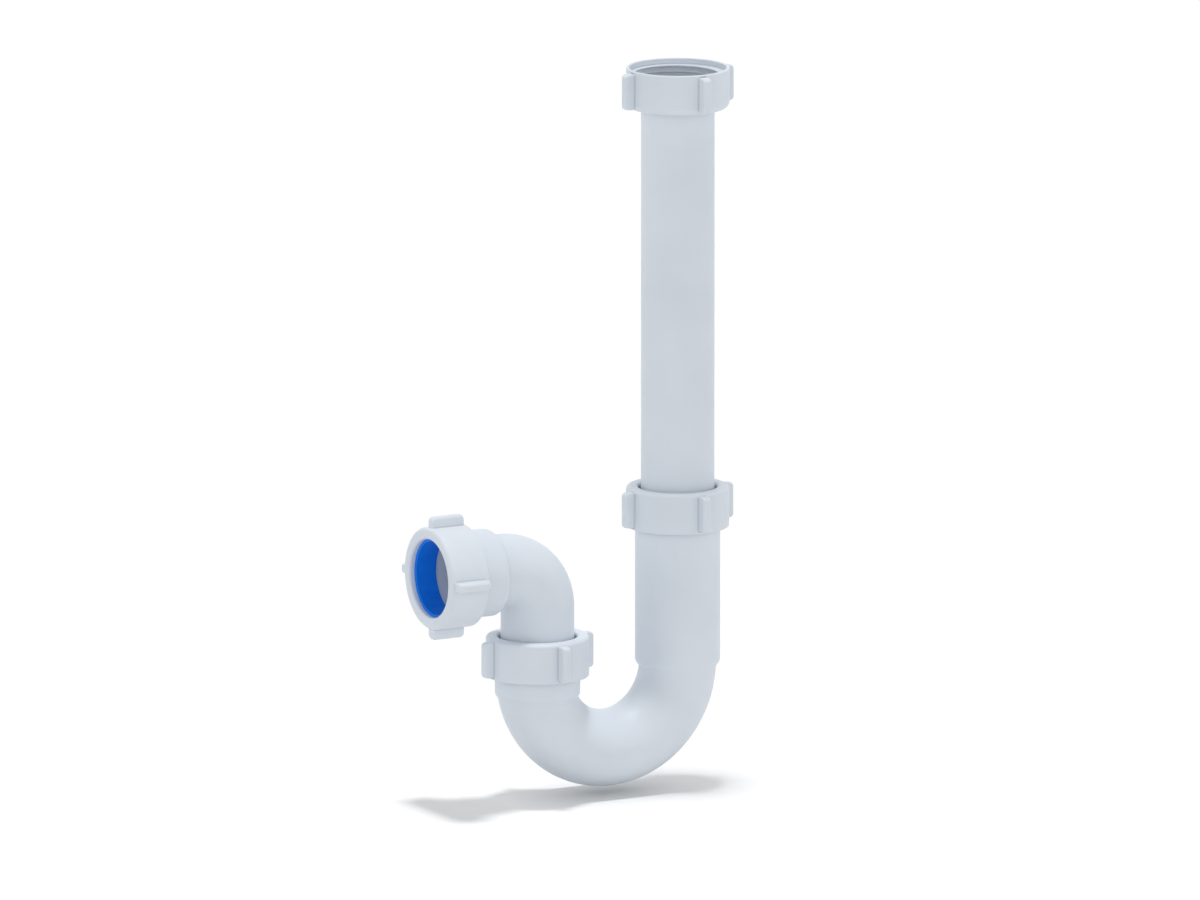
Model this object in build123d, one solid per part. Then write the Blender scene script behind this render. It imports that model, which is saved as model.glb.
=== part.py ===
"""Tubular basin trap: a U bend with a height-adjustable inlet pipe and a swivelling outlet elbow.

Sizes are in millimetres. The origin is the centre of the inlet gasket's upper face, where the
basin waste seats. +Z points up and the outlet points along -X. Thread ridges are left out:
nut bores and threaded necks have the diameters of the thread roots.
"""

import os

from build123d import *

# Inlet pipe
PIPE_OD = 40.0
PIPE_WALL = 1.9
PIPE_SHOWING = 208.7
PIPE_INSERTION = 50.0
FLANGE_PROUD = 2.2
FLANGE_THICKNESS = 3.0
GASKET_INSET = 0.4
GASKET_THICKNESS = 2.5

# U bend
SHOULDER_STEP = 2.2
SHOULDER_HEIGHT = 3.4
TUBE_WALL = 2.5
BEND_RADIUS = 44.4
SPRING_DEPTH = 74.3
LONG_STOP_RISE = 3.0
SHORT_AXIS_INSET = 1.8
SHORT_BASE_DROP = 9.9
SHORT_STOP_DROP = 5.5

# Sockets with threaded necks, two on the bend and one on the elbow
SOCKET_CLEARANCE = 0.8
SOCKET_WALL = 2.4
NECK_LENGTH = 12.0
MOUTH_FLARE = 0.7
RIM_THICKNESS = 0.9
SEAT_DEPTH = 8.0

# Outlet elbow
ELBOW_WALL = 2.0
ELBOW_THROAT = 1.6
ELBOW_NUT_RISE = 22.3
OUTLET_RISE = 59.9
OUTLET_DEPTH = 33.4
SPIGOT_INSERTION = 18.0
COLLAR_GAP = 6.6
COLLAR_WALL = 3.0
COLLAR_ROUND = 3.4
COLLAR_TO_STOP = 5.8

# Cone seals
SEAL_CLEARANCE = 0.1
SEAL_HEAD_INSET = 0.3
SEAL_HEAD_THICKNESS = 3.0
SEAL_CONE_LENGTH = 9.4
SEAL_SEAT_GAP = 0.3
SEAL_TIP_THICKNESS = 0.4

# All nuts
THREAD_ROOM = 1.8
NUT_WALL = 3.9
NUT_HEIGHT = 22.4
NUT_LIP = 3.4
LUG_COUNT = 4
LUG_PROUD = 5.9
LUG_WIDTH = 5.0
LUG_LENGTH = 19.6
LUG_END_GAP = 1.3
LUG_SINK = 1.4
LUG_ROUND = 1.6

# Compression nuts
OPENING_CLEARANCE = 1.5
OPENING_ROUND = 1.4
LIP_ROUND = 2.0
SKIRT_CHAMFER = 0.8

# Union nut on the inlet
UNION_CLEARANCE = 0.4
UNION_CHAMBER_CLEARANCE = 0.4
UNION_BASE_ROUND = 4.0
UNION_MOUTH_WALL = 1.8
UNION_MOUTH_DEPTH = 3.3
UNION_RIM_ROUND = 0.6

# Radii, from the pipe outwards
PIPE_R = PIPE_OD / 2
PIPE_BORE_R = PIPE_R - PIPE_WALL
FLANGE_R = PIPE_R + FLANGE_PROUD
SEAL_BORE_R = PIPE_R + SEAL_CLEARANCE
OPENING_R = PIPE_R + OPENING_CLEARANCE
SOCKET_BORE_R = PIPE_R + SOCKET_CLEARANCE
MOUTH_R = SOCKET_BORE_R + MOUTH_FLARE
NECK_R = MOUTH_R + RIM_THICKNESS
SOCKET_R = SOCKET_BORE_R + SOCKET_WALL
COLLAR_R = SOCKET_BORE_R + COLLAR_WALL
TUBE_R = SOCKET_R - SHOULDER_STEP
TUBE_BORE_R = TUBE_R - TUBE_WALL
NUT_BORE_R = NECK_R + THREAD_ROOM
NUT_R = NUT_BORE_R + NUT_WALL
ELBOW_RADIUS = PIPE_R + ELBOW_THROAT

# Heights on the inlet axis, from the gasket's upper face down
GASKET_TOP = 0.0
FLANGE_TOP = GASKET_TOP - GASKET_THICKNESS
FLANGE_BASE = FLANGE_TOP - FLANGE_THICKNESS
UNION_BASE = FLANGE_BASE - NUT_LIP
UNION_RIM = UNION_BASE + NUT_HEIGHT
PIPE_NUT_TOP = UNION_BASE - PIPE_SHOWING
SEAL_SEAT = NUT_LIP + SEAL_HEAD_THICKNESS
LONG_RIM = PIPE_NUT_TOP - SEAL_SEAT
PIPE_END = LONG_RIM - PIPE_INSERTION
SPRING_LINE = PIPE_NUT_TOP - NUT_HEIGHT - SPRING_DEPTH
LONG_STOP = SPRING_LINE + LONG_STOP_RISE

# Places on the outlet side
SHORT_AXIS = SHORT_AXIS_INSET - BEND_RADIUS - BEND_RADIUS
SHORT_BASE = SPRING_LINE - SHORT_BASE_DROP
SHORT_STOP = SPRING_LINE - SHORT_STOP_DROP
ELBOW_NUT_TOP = SPRING_LINE + ELBOW_NUT_RISE
SHORT_RIM = ELBOW_NUT_TOP - SEAL_SEAT
SPIGOT_END = SHORT_RIM - SPIGOT_INSERTION
OUTLET_LEVEL = SPRING_LINE + OUTLET_RISE
ELBOW_BASE = OUTLET_LEVEL - ELBOW_RADIUS
COLLAR_START = ELBOW_RADIUS + COLLAR_GAP
OUTLET_STOP = COLLAR_START + COLLAR_TO_STOP
OUTLET_REACH = OUTLET_STOP + OUTLET_DEPTH
OUTLET_RIM = OUTLET_REACH - SEAL_SEAT

# Frames: the short socket's axis, and the outlet's axis with +Z as the way out
SHORT_FRAME = Pos(SHORT_AXIS, 0, 0)
OUTLET_FRAME = Location((SHORT_AXIS, 0, OUTLET_LEVEL), (0, -90, 0))

HALF_TURN = 180
QUARTER_TURN = 90
FULL_TURN = 360


def turned(*corners):
    """A solid turned about Z from (radius, height) corners."""
    outline = Polyline(*[(radius, 0, height) for radius, height in corners], close=True)
    return revolve(make_face(outline), Axis.Z)


def rod(radius, bottom, top):
    """A plain cylinder on the Z axis between two heights."""
    return turned((0, bottom), (radius, bottom), (radius, top), (0, top))


def ring_edge(solid, radius, highest):
    """The highest or lowest circular edge of a radius on a solid turned about Z."""
    rings = solid.edges().filter_by(GeomType.CIRCLE).group_by(lambda edge: abs(edge.radius - radius))[0]
    return rings.sort_by(Axis.Z)[-1 if highest else 0]


def socket_outside(radius, base, rim):
    """A socket's outside: a plain wall, then the threaded neck up to the rim."""
    neck_base = rim - NECK_LENGTH
    return turned(
        (0, base),
        (radius, base),
        (radius, neck_base),
        (NECK_R, neck_base),
        (NECK_R, rim),
        (0, rim),
    )


def socket_inside(stop, rim):
    """A socket's hollow: the bore from the pipe stop up, widening to the seal's seat."""
    return turned(
        (0, stop),
        (SOCKET_BORE_R, stop),
        (SOCKET_BORE_R, rim - SEAT_DEPTH),
        (MOUTH_R, rim),
        (0, rim),
    )


def shoulder(base):
    """The cone under a socket, running from its outside into the middle of the tube's wall."""
    tip = base - SHOULDER_HEIGHT
    tip_r = TUBE_R - TUBE_WALL / 2
    return turned((0, tip), (tip_r, tip), (SOCKET_R, base), (0, base))


def bent_rod(radius):
    """The half circle of the U bend, as a round rod."""
    start = Pos(0, 0, SPRING_LINE) * Circle(radius)
    pivot = Axis((-BEND_RADIUS, 0, SPRING_LINE), (0, 1, 0))
    return revolve(start, pivot, HALF_TURN)


def elbow_rod(radius):
    """The elbow's quarter bend, as a round rod from the spigot round to the outlet."""
    start = Pos(SHORT_AXIS, 0, ELBOW_BASE) * Circle(radius)
    pivot = Axis((SHORT_AXIS - ELBOW_RADIUS, 0, ELBOW_BASE), (0, -1, 0))
    return revolve(start, pivot, QUARTER_TURN)


def make_u_bend():
    """Long socket, bend and short socket in one piece, with the water way through it."""
    outside = bent_rod(TUBE_R)
    outside += socket_outside(SOCKET_R, SPRING_LINE, LONG_RIM)
    outside += shoulder(SPRING_LINE)
    outside += SHORT_FRAME * socket_outside(SOCKET_R, SHORT_BASE, SHORT_RIM)
    outside += SHORT_FRAME * shoulder(SHORT_BASE)
    inside = bent_rod(TUBE_BORE_R)
    inside += rod(TUBE_BORE_R, SPRING_LINE, LONG_STOP)
    inside += socket_inside(LONG_STOP, LONG_RIM)
    inside += SHORT_FRAME * socket_inside(SHORT_STOP, SHORT_RIM)
    return outside - inside


def make_inlet_pipe():
    """The straight pipe, with the flange that the union nut draws up."""
    return turned(
        (PIPE_BORE_R, PIPE_END),
        (PIPE_R, PIPE_END),
        (PIPE_R, FLANGE_BASE),
        (FLANGE_R, FLANGE_BASE),
        (FLANGE_R, FLANGE_TOP),
        (PIPE_BORE_R, FLANGE_TOP),
    )


def make_inlet_gasket():
    """The flat ring on the pipe's flange."""
    bore_r = PIPE_BORE_R + GASKET_INSET
    return turned((bore_r, FLANGE_TOP), (FLANGE_R, FLANGE_TOP), (FLANGE_R, GASKET_TOP), (bore_r, GASKET_TOP))


def make_outlet_elbow():
    """Spigot, tight bend and collared socket in one piece, with the water way through it."""
    bore_r = PIPE_R - ELBOW_WALL
    collar = socket_outside(COLLAR_R, COLLAR_START, OUTLET_RIM)
    collar = fillet(ring_edge(collar, COLLAR_R, False), COLLAR_ROUND)
    outside = elbow_rod(PIPE_R)
    outside += SHORT_FRAME * rod(PIPE_R, SPIGOT_END, ELBOW_BASE)
    outside += OUTLET_FRAME * rod(PIPE_R, ELBOW_RADIUS, OUTLET_STOP)
    outside += OUTLET_FRAME * collar
    inside = elbow_rod(bore_r)
    inside += SHORT_FRAME * rod(bore_r, SPIGOT_END, ELBOW_BASE)
    inside += OUTLET_FRAME * rod(bore_r, ELBOW_RADIUS, OUTLET_STOP)
    inside += OUTLET_FRAME * socket_inside(OUTLET_STOP, OUTLET_RIM)
    return outside - inside


def make_seal():
    """A cone seal with its head's top at height 0, pointing down."""
    seat = -SEAL_HEAD_THICKNESS
    tip = seat - SEAL_CONE_LENGTH
    head_r = NECK_R - SEAL_HEAD_INSET
    return turned(
        (SEAL_BORE_R, tip),
        (SEAL_BORE_R + SEAL_TIP_THICKNESS, tip),
        (MOUTH_R - SEAL_SEAT_GAP, seat),
        (head_r, seat),
        (head_r, 0),
        (SEAL_BORE_R, 0),
    )


def with_lugs(body, lug_top):
    """A nut body with its grip lugs set round it, their upper ends at one height."""
    root_r = NUT_R - LUG_SINK
    depth = LUG_SINK + LUG_PROUD
    block = Pos(root_r + depth / 2, 0, lug_top - LUG_LENGTH / 2) * Box(depth, LUG_WIDTH, LUG_LENGTH)
    lug = fillet(block.faces().sort_by(Axis.X)[-1].edges(), LUG_ROUND)
    for index in range(LUG_COUNT):
        body += Rot(0, 0, index * FULL_TURN / LUG_COUNT) * lug
    return body


def make_compression_nut():
    """A compression nut with its lip's face at height 0 and its skirt below."""
    skirt = -NUT_HEIGHT
    body = turned(
        (OPENING_R, 0),
        (NUT_R, 0),
        (NUT_R, skirt + SKIRT_CHAMFER),
        (NUT_R - SKIRT_CHAMFER, skirt),
        (NUT_BORE_R, skirt),
        (NUT_BORE_R, -NUT_LIP),
        (OPENING_R, -NUT_LIP),
    )
    body = fillet(ring_edge(body, NUT_R, True), LIP_ROUND)
    body = fillet(ring_edge(body, OPENING_R, True), OPENING_ROUND)
    return with_lugs(body, -LUG_END_GAP)


def make_union_nut():
    """The union nut: open mouth, threaded bore, chamber for flange and gasket, and lip."""
    opening_r = PIPE_R + UNION_CLEARANCE
    chamber_r = FLANGE_R + UNION_CHAMBER_CLEARANCE
    mouth_r = NUT_R - UNION_MOUTH_WALL
    mouth_base = UNION_RIM - UNION_MOUTH_DEPTH
    body = turned(
        (mouth_r, UNION_RIM),
        (NUT_R, UNION_RIM),
        (NUT_R, UNION_BASE),
        (opening_r, UNION_BASE),
        (opening_r, FLANGE_BASE),
        (chamber_r, FLANGE_BASE),
        (chamber_r, GASKET_TOP),
        (NUT_BORE_R, GASKET_TOP),
        (NUT_BORE_R, mouth_base),
        (mouth_r, mouth_base),
    )
    body = fillet(ring_edge(body, NUT_R, False), UNION_BASE_ROUND)
    body = fillet(ring_edge(body, NUT_R, True), UNION_RIM_ROUND)
    body = fillet(ring_edge(body, mouth_r, True), UNION_RIM_ROUND)
    return with_lugs(body, UNION_RIM - LUG_END_GAP)


def make_parts():
    """Every piece of the trap in its place."""
    nut = make_compression_nut()
    seal = make_seal()
    pipe_place = Pos(0, 0, PIPE_NUT_TOP)
    elbow_place = Pos(SHORT_AXIS, 0, ELBOW_NUT_TOP)
    outlet_place = OUTLET_FRAME * Pos(0, 0, OUTLET_REACH)
    under_lip = Pos(0, 0, -NUT_LIP)
    return {
        "inlet_nut": make_union_nut(),
        "inlet_pipe": make_inlet_pipe(),
        "inlet_gasket": make_inlet_gasket(),
        "u_bend": make_u_bend(),
        "pipe_nut": pipe_place * nut,
        "pipe_seal": pipe_place * under_lip * seal,
        "outlet_elbow": make_outlet_elbow(),
        "elbow_nut": elbow_place * nut,
        "elbow_seal": elbow_place * under_lip * seal,
        "outlet_nut": outlet_place * nut,
        "outlet_seal": outlet_place * under_lip * seal,
    }


os.makedirs("parts", exist_ok=True)
for name, part in make_parts().items():
    part.label = name
    export_step(part, os.path.join("parts", name + ".step"))
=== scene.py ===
"""Basin trap: moulded nuts, bend and elbow, an extruded pipe and rubber seals, on a white stage.

Lengths are in metres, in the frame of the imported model: +Z is up and the outlet points along -X.
"""

import math

import bmesh
import bpy
from bpy.props import FloatProperty, FloatVectorProperty, PointerProperty
from mathutils import Matrix, Vector


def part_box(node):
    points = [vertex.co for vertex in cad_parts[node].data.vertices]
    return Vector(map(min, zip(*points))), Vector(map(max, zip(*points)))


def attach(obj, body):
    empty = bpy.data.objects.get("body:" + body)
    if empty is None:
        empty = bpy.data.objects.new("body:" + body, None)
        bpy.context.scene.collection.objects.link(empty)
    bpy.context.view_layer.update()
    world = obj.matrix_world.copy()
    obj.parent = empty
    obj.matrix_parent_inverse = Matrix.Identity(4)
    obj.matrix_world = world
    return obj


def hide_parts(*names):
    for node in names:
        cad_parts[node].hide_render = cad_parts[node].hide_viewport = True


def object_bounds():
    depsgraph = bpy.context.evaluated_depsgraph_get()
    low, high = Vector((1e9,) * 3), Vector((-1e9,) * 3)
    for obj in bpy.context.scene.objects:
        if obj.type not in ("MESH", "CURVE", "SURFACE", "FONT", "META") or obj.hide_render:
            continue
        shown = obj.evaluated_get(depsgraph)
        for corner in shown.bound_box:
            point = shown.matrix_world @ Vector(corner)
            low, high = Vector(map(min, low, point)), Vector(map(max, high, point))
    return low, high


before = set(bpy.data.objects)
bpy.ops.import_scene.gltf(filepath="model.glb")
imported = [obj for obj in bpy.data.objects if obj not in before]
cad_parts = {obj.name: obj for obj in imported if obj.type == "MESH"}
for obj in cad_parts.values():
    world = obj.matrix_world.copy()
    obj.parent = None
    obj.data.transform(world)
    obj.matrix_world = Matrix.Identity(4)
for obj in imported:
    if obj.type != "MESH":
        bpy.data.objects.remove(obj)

CAD_LOW, CAD_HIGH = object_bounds()

bl_info = {
    "name": "Basin trap",
    "version": (1, 0, 0),
    "blender": (4, 5, 0),
    "location": "3D View > Sidebar > Trap",
    "description": "Builds a tubular basin trap piece by piece, and a white stage round it",
    "category": "Object",
}

MM = 0.001
FULL_TURN = 2 * math.pi
QUARTER_TURN = math.pi / 2
HALF_TURN = math.pi

# Points round a turned piece, along a rounded edge, along the U bend and along the elbow
ROUND_POINTS = 160
EDGE_STEPS = 6
BEND_STEPS = 96
ELBOW_STEPS = 40

# Places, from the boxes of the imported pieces
inlet_nut_low, inlet_nut_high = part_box("inlet_nut")
pipe_low, pipe_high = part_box("inlet_pipe")
bend_low, bend_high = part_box("u_bend")
pipe_nut_low, pipe_nut_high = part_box("pipe_nut")
elbow_low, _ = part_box("outlet_elbow")
elbow_nut_low, elbow_nut_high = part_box("elbow_nut")
outlet_nut_low, outlet_nut_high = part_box("outlet_nut")

LONG_RIM = bend_high.z
SHORT_AXIS = (elbow_nut_low.x + elbow_nut_high.x) / 2
OUTLET_LEVEL = (outlet_nut_low.z + outlet_nut_high.z) / 2
OUTLET_REACH = SHORT_AXIS - outlet_nut_low.x
OUTLET_RIM = SHORT_AXIS - elbow_low.x
# Depth of a neck's rim under the face of its nut
RIM_DEPTH = OUTLET_REACH - OUTLET_RIM
SHORT_RIM = elbow_nut_high.z - RIM_DEPTH

INLET_AXIS = Matrix.Identity(4)
PIPE_NUT_PLACE = Matrix.Translation((0, 0, pipe_nut_high.z))
ELBOW_NUT_PLACE = Matrix.Translation((SHORT_AXIS, 0, elbow_nut_high.z))
OUTLET_AXIS = Matrix.Translation((SHORT_AXIS, 0, OUTLET_LEVEL)) @ Matrix.Rotation(-QUARTER_TURN, 4, "Y")
OUTLET_NUT_PLACE = OUTLET_AXIS @ Matrix.Translation((0, 0, OUTLET_REACH))


def linear(code):
    """A colour given as an sRGB hex code, as linear red, green and blue by the sRGB standard's curve."""
    values = [int(code[place:place + 2], 16) / 255 for place in (1, 3, 5)]
    return tuple(v / 12.92 if v <= 0.04045 else ((v + 0.055) / 1.055) ** 2.4 for v in values)


def length(name, description, millimetres):
    """A length that a user may change, with its default given in millimetres."""
    return FloatProperty(name=name, description=description, default=millimetres * MM, min=0, unit="LENGTH",
                         precision=5)


def position(name, description, millimetres):
    """A place along an axis that a user may change, with its default given in millimetres."""
    return FloatProperty(name=name, description=description, default=millimetres * MM, unit="LENGTH",
                         precision=5)


def colour(name, description, code):
    """A colour that a user may change, with its default given as an sRGB hex code."""
    return FloatVectorProperty(name=name, description=description, default=linear(code), min=0, max=1,
                               size=3, subtype="COLOR")


def share(name, description, value):
    """A number from 0 to 1 that a user may change."""
    return FloatProperty(name=name, description=description, default=value, min=0, max=1, subtype="FACTOR")


def angle(name, description, degrees):
    """An angle that a user may change, with its default given in degrees."""
    return FloatProperty(name=name, description=description, default=math.radians(degrees), unit="ROTATION")


class TrapSizes(bpy.types.PropertyGroup):
    """Sizes of the trap's pieces"""

    pipe_radius: length("Pipe radius", "Outside radius of the inlet pipe and the elbow's spigot", 20.0)
    pipe_wall: length("Pipe wall", "Wall of the inlet pipe", 1.9)
    flange_radius: length("Flange radius", "Radius of the pipe's flange and of the gasket", 22.2)
    flange_thickness: length("Flange thickness", "Thickness of the pipe's flange", 3.0)
    gasket_bore: length("Gasket bore", "Inside radius of the gasket", 18.5)

    tube_radius: length("Tube radius", "Outside radius of the U bend's tube", 21.0)
    tube_wall: length("Tube wall", "Wall of the U bend's tube", 2.5)
    bend_radius: length("Bend radius", "Radius of the U bend along its middle", 44.4)
    socket_radius: length("Socket radius", "Outside radius of the bend's sockets", 23.2)
    shoulder_height: length("Shoulder height", "Height of the cone under a socket", 5.2)
    shoulder_round: length("Shoulder rounding", "Rounding of the edge over the cone under a socket", 3.5)
    long_stop_rise: length("Long stop", "Height of the long socket's pipe stop above the bend", 3.0)
    short_base_drop: length("Short base", "Depth of the short socket's base below the bend's start", 9.9)
    short_stop_drop: length("Short stop", "Depth of the short socket's stop below the bend's start", 5.5)

    neck_radius: length("Neck radius", "Radius at the root of the necks' threads", 22.4)
    neck_length: length("Neck length", "Length of the threaded necks", 12.0)
    mouth_radius: length("Mouth radius", "Inside radius at a socket's rim", 21.5)
    seat_depth: length("Seat depth", "Depth of the cone that the seal sits in", 8.0)
    socket_bore: length("Socket bore", "Inside radius of the sockets", 20.8)

    elbow_wall: length("Elbow wall", "Wall of the outlet elbow", 2.0)
    elbow_radius: length("Elbow radius", "Radius of the elbow's bend along its middle", 21.6)
    outlet_stop: length("Outlet stop", "Distance of the outlet's pipe stop from the short leg", 34.0)
    collar_radius: length("Collar radius", "Outside radius of the elbow's collar", 23.8)
    collar_start: length("Collar start", "Distance of the collar from the short leg", 28.2)
    collar_round: length("Collar rounding", "Rounding of the collar's back edge", 3.4)

    seal_bore: length("Seal bore", "Inside radius of the cone seals", 20.1)
    seal_head: length("Seal head", "Radius of the cone seals' heads", 22.1)
    seal_head_thickness: length("Seal head thickness", "Thickness of the cone seals' heads", 2.95)
    seal_cone: length("Seal cone", "Length of the cone seals' cones", 9.4)
    seal_tip: length("Seal tip", "Thickness of the cone seals' tips", 0.4)
    seal_gap: length("Seal gap", "Room between a cone seal and its seat", 0.3)

    nut_radius: length("Nut radius", "Outside radius of the nuts", 28.1)
    nut_bore: length("Nut bore", "Radius at the root of the nuts' threads", 24.2)
    nut_lip: length("Nut lip", "Thickness of the nuts' lips", 3.4)
    opening: length("Opening", "Radius of the compression nuts' openings", 21.5)
    opening_round: length("Opening rounding", "Rounding of the compression nuts' openings", 1.6)
    lip_round: length("Lip rounding", "Rounding of the compression nuts' outer edges", 2.0)
    skirt_round: length("Skirt rounding", "Rounding of the compression nuts' skirts", 0.8)

    union_opening: length("Union opening", "Radius of the hole in the union nut's lip", 20.4)
    union_chamber: length("Union chamber", "Radius of the union nut's chamber for the flange", 22.6)
    union_mouth: length("Union mouth", "Radius of the union nut's mouth", 26.3)
    union_mouth_depth: length("Union mouth depth", "Depth of the union nut's mouth above the thread", 3.3)
    union_base_round: length("Union base rounding", "Rounding of the union nut's base", 4.0)
    union_rim_round: length("Union rim rounding", "Rounding of the union nut's rim", 0.6)

    lug_reach: length("Lug reach", "Distance of a lug's face from the nut's axis", 34.0)
    lug_width: length("Lug width", "Width of a lug", 5.0)
    lug_length: length("Lug length", "Length of a lug along the nut", 19.6)
    lug_end_gap: length("Lug end gap", "Distance of a lug's end from the nut's face", 1.3)
    lug_round: length("Lug rounding", "Rounding of a lug's face", 1.6)
    lug_corner_round: length("Lug corner rounding", "Rounding of a lug's corners, seen from its side", 2.2)
    lug_end_round: length("Lug end rounding", "Rounding of a lug's end across its width", 0.7)
    lug_root_round: length("Lug root rounding", "Hollow rounding between a lug and the nut", 0.3)

    thread_pitch: length("Thread pitch", "Distance from one thread ridge to the next", 3.0)
    thread_foot: length("Thread foot", "Width of a thread ridge at its root", 1.9)
    thread_crest: length("Thread crest", "Width of a thread ridge at its crest", 0.7)
    neck_crest: length("Neck crest", "Radius at the crest of the necks' threads", 23.75)
    nut_crest: length("Nut crest", "Radius at the crest of the nuts' threads", 22.75)

    edge_round: length("Edge rounding", "Rounding of the mouldings' plain edges", 0.35)


class TrapFinishes(bpy.types.PropertyGroup):
    """Colours and finishes of the trap's materials"""

    plastic: colour("Plastic", "Colour of the moulded and extruded polypropylene", "#D7DFE8")
    plastic_pale: colour("Pale plastic", "Colour of the polypropylene's paler clouds", "#DDE4EC")
    # Painted shade: the darker colour that the plastic shows deep in its corners, where shade falls.
    plastic_painted_shade: colour("Plastic corners", "Colour of the polypropylene deep in its corners", "#9FA6AE")
    plastic_roughness: share("Plastic roughness", "Roughness of the polypropylene", 0.5)
    blue: colour("Blue rubber", "Colour of the outlet's seal", "#0079EE")
    blue_pale: colour("Pale blue rubber", "Colour of the paler clouds in the outlet's seal", "#0A83F6")
    grey: colour("Grey rubber", "Colour of the other seals and the gasket", "#5A5E63")
    grey_pale: colour("Pale grey rubber", "Colour of the paler clouds in the grey rubber", "#646A70")
    rubber_roughness: share("Rubber roughness", "Roughness of the seals and the gasket", 0.5)


class TrapStage(bpy.types.PropertyGroup):
    """Floor, light and camera"""

    floor: colour("Floor", "Colour of the floor as the camera sees it", "#FCFCFC")
    # Painted shadow: the darker colour that the floor shows close under the trap, where shade falls.
    floor_painted_shadow: colour("Floor contact", "Colour of the floor close under the trap", "#D7D7D7")
    floor_bounce: colour("Floor bounce", "Colour of the light that the floor throws back", "#E7E7E7")
    background: colour("Background", "Colour of the background", "#FFFFFF")
    azimuth: angle("Azimuth", "Camera's turn round the trap, from the front", -28.9)
    elevation: angle("Elevation", "Camera's height above level", 11.35)
    distance: length("Distance", "Camera's distance from the point it looks at", 15000.0)
    view_width: length("View width", "Width of the view at the point the camera looks at", 651.2)
    aim_x: position("Aim X", "Place along X that the camera looks at", -48.2)
    aim_z: position("Aim Z", "Height that the camera looks at", -193.6)


def add_node(tree, kind, settings=None, links=None):
    """Adds a node, sets its own settings and its input values, and links its inputs to sources."""
    node = tree.nodes.new(kind)
    for key, value in (settings or {}).items():
        if isinstance(key, str) and hasattr(node, key):
            setattr(node, key, value)
        else:
            node.inputs[key].default_value = value
    for key, source in (links or {}).items():
        tree.links.new(source, node.inputs[key])
    return node


# A Mix node's colour sockets share their names with its other sockets, so they go by their places.
MIX_FIRST = 6
MIX_SECOND = 7
MIX_RESULT = 2


def new_material(name):
    """An empty node material, with its tree and the place its surface goes."""
    material = bpy.data.materials.new(name)
    material.use_nodes = True
    tree = material.node_tree
    tree.nodes.clear()
    output = tree.nodes.new("ShaderNodeOutputMaterial")
    return material, tree, output.inputs["Surface"]


# A noise keeps mostly to this middle stretch of its range.
NOISE_LOW = 0.3
NOISE_HIGH = 0.7
# Gloss changes a little in patches, where a moulding left the steel at different times.
GLOSS_SPREAD = 0.05
GRAIN_DETAIL = 2.0


def noise(tree, place, size, detail):
    """A noise whose features are of a given size."""
    texture = add_node(tree, "ShaderNodeTexNoise", {"Scale": 1 / size, "Detail": detail}, {"Vector": place})
    return texture.outputs["Fac"]


def two_tone(tree, value, span, first, second):
    """A colour that goes from the first to the second while a value goes through a span."""
    tone = add_node(tree, "ShaderNodeValToRGB", None, {"Fac": value})
    for stop, place, paint in zip(tone.color_ramp.elements, span, (first, second)):
        stop.position = place
        stop.color = (*paint, 1)
    return tone.outputs["Color"]


def patchy_roughness(tree, value, middle):
    """A roughness that goes a little to either side of its middle with a noise."""
    gloss = add_node(tree, "ShaderNodeMapRange", {
        "From Min": NOISE_LOW,
        "From Max": NOISE_HIGH,
        "To Min": middle - GLOSS_SPREAD,
        "To Max": middle + GLOSS_SPREAD,
    }, {"Value": value})
    return gloss.outputs["Result"]


def grain_bump(tree, grain, depth):
    """A bump of a given depth from a grain's noise."""
    bump = add_node(tree, "ShaderNodeBump", {"Strength": 1.0, "Distance": depth}, {"Height": grain})
    return bump.outputs["Normal"]


# Polypropylene lets a little light in and has no pigment flakes: a soft, even, waxy white with broad
# faint clouds where the melt flowed.
CLOUD_SIZE = 45 * MM
CLOUD_DETAIL = 2.0
CLOUD_SPAN = (0.35, 0.65)
PLASTIC_IOR = 1.49
PLASTIC_SOFTNESS = 0.06
PLASTIC_LIGHT_REACH = (0.9 * MM, 1.0 * MM, 1.1 * MM)
# A spark-eroded mould leaves a grain of about 0.1 mm, drawn at 0.7 mm so that it shows.
MOULD_GRAIN = 0.7 * MM
MOULD_GRAIN_DEPTH = 0.05 * MM
# An extruded pipe has faint lines along its length from the die, about 0.3 mm apart, drawn at 1.1 mm.
DIE_LINE_SPACING = 1.1 * MM
DIE_LINE_LENGTH = 120 * MM
DIE_LINE_DEPTH = 0.02 * MM
# Painted shade: ambient occlusion darkens the plastic's colour in its corners, like a fine drawn line.
# The shade is darkest where half of the surroundings are open, and ends where most of them are.
CORNER_SHADE_REACH = 1.6 * MM
CORNER_SHADE_SAMPLES = 8
CORNER_SHADE_DARKEST = 0.5
CORNER_SHADE_END = 0.85
GLOSS_PATCH = 9 * MM
GLOSS_PATCH_DETAIL = 3.0


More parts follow.
